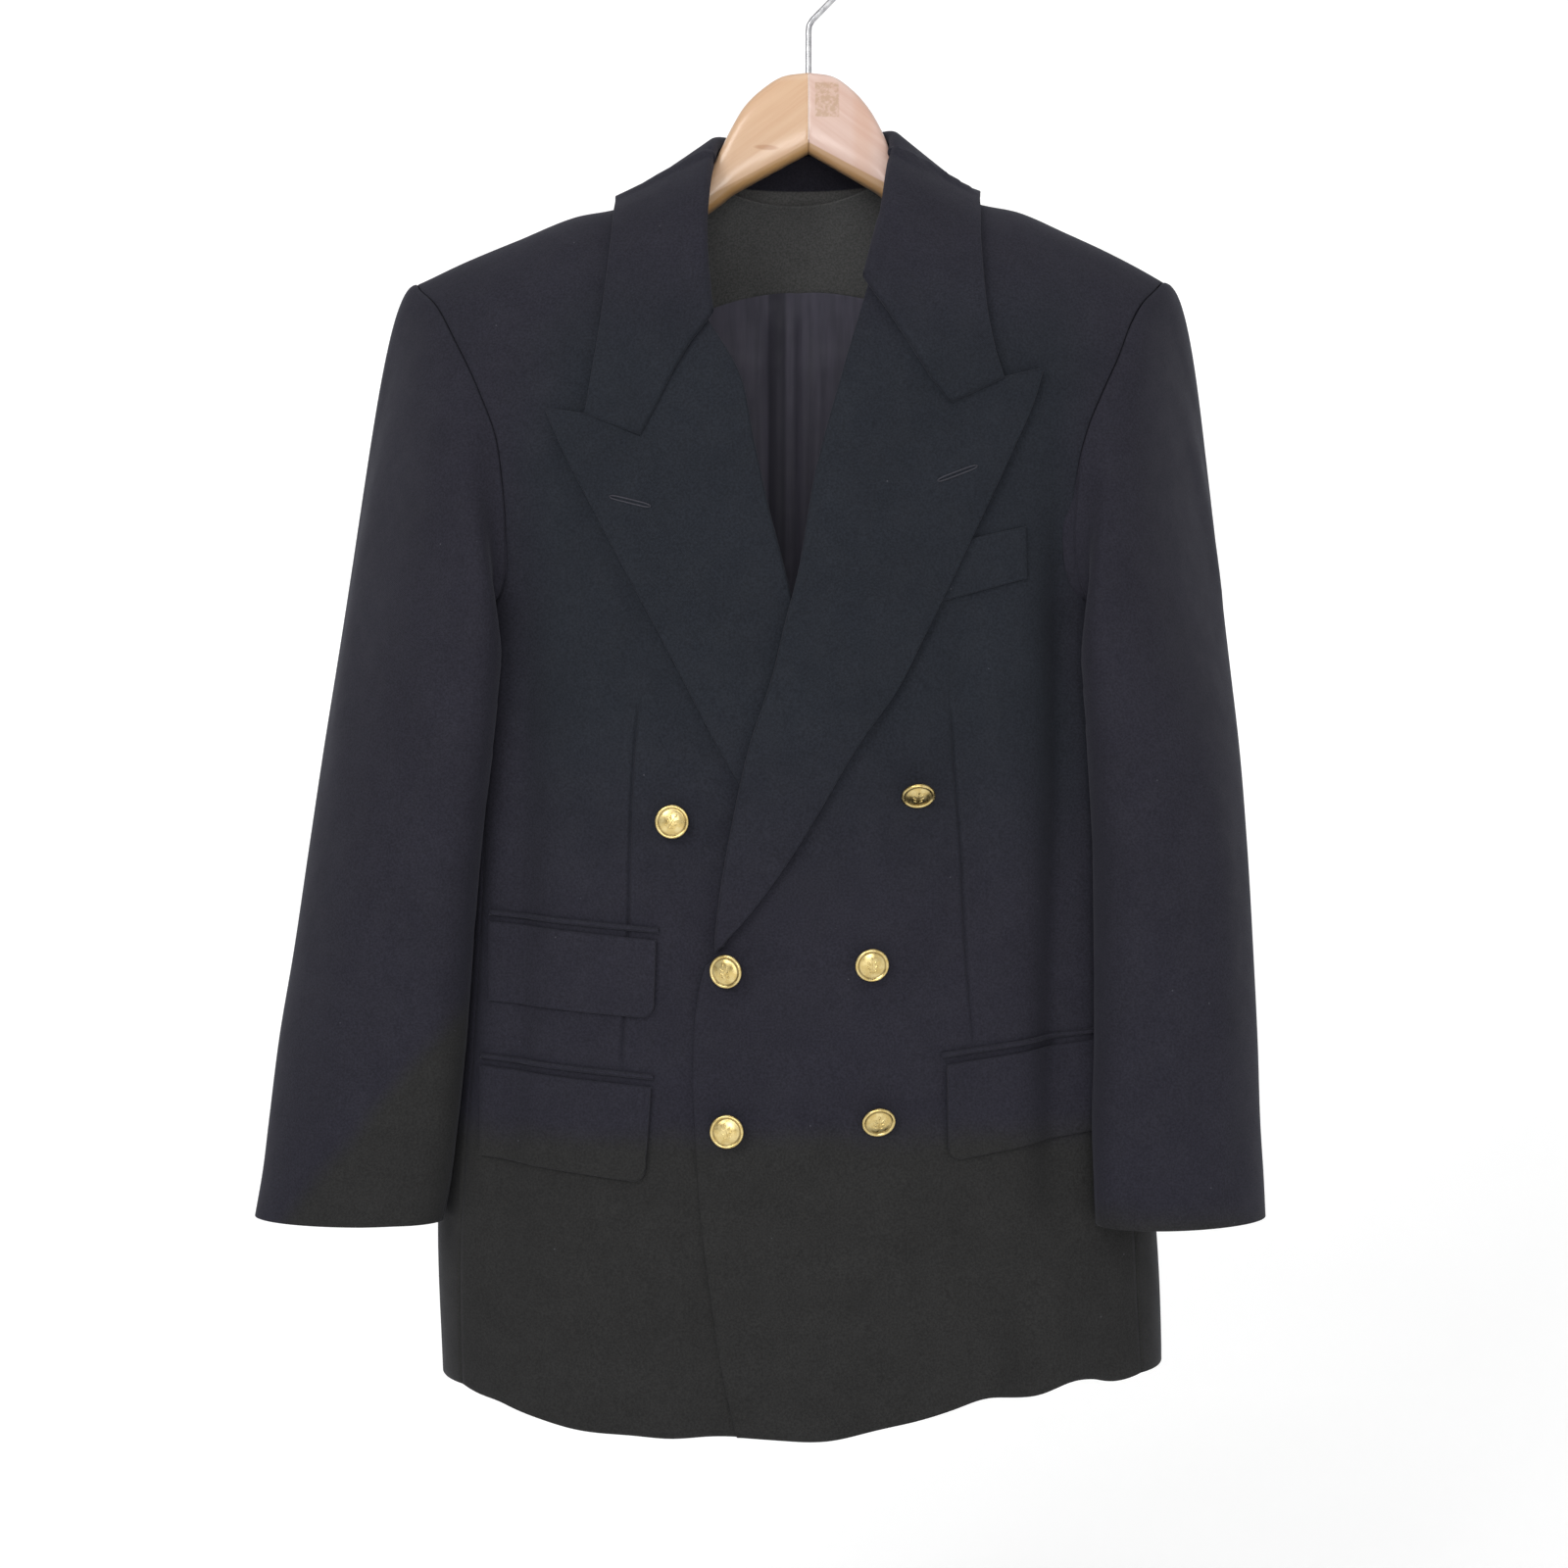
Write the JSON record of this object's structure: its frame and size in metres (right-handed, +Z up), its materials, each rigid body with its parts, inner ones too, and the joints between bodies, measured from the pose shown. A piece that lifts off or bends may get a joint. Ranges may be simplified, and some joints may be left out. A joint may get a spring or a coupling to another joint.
{
  "type": "double-breasted jacket on a hanger",
  "caption": "Tailored double-breasted jacket with peak lapels, welt and flap pockets and shanked metal buttons, hung on a contoured wooden hanger with a wire hook",
  "frame": {"origin": "the top of the inside of the hook's bend, where a rail carries the hanger", "axes": "+Z up, -Y towards the jacket's front, +X towards the wearer's left"},
  "size_m": [0.6253, 0.2231, 0.9393],
  "materials": {
    "wool": "matte, finely woven",
    "wool_charcoal": "matte, finely woven",
    "lining": "smooth, slightly shiny",
    "wood": "varnished",
    "brass": "polished",
    "steel": "smooth wire"
  },
  "bodies": {
    "root": {"front_right": "wool", "front_left": "wool", "side_right": "wool", "side_left": "wool", "back_right": "wool", "back_left": "wool", "sleeve_top_right": "wool", "sleeve_top_left": "wool", "sleeve_under_right": "wool", "sleeve_under_left": "wool", "lapel_right": "wool", "lapel_left": "wool", "collar_fall": "wool", "collar_stand": "wool", "chest_welt": "wool", "ticket_flap": "wool", "hip_flap_right": "wool", "hip_flap_left": "wool", "ticket_jet": "wool", "hip_jet_right": "wool", "hip_jet_left": "wool", "back_neck_facing": "wool_charcoal", "back_lining": "lining", "button_1": "brass", "button_2": "brass", "button_3": "brass", "button_4": "brass", "button_5": "brass", "button_6": "brass", "hanger_arm_right": "wood", "hanger_arm_left": "wood", "hanger_hook": "steel"}
  },
  "joints": []
}
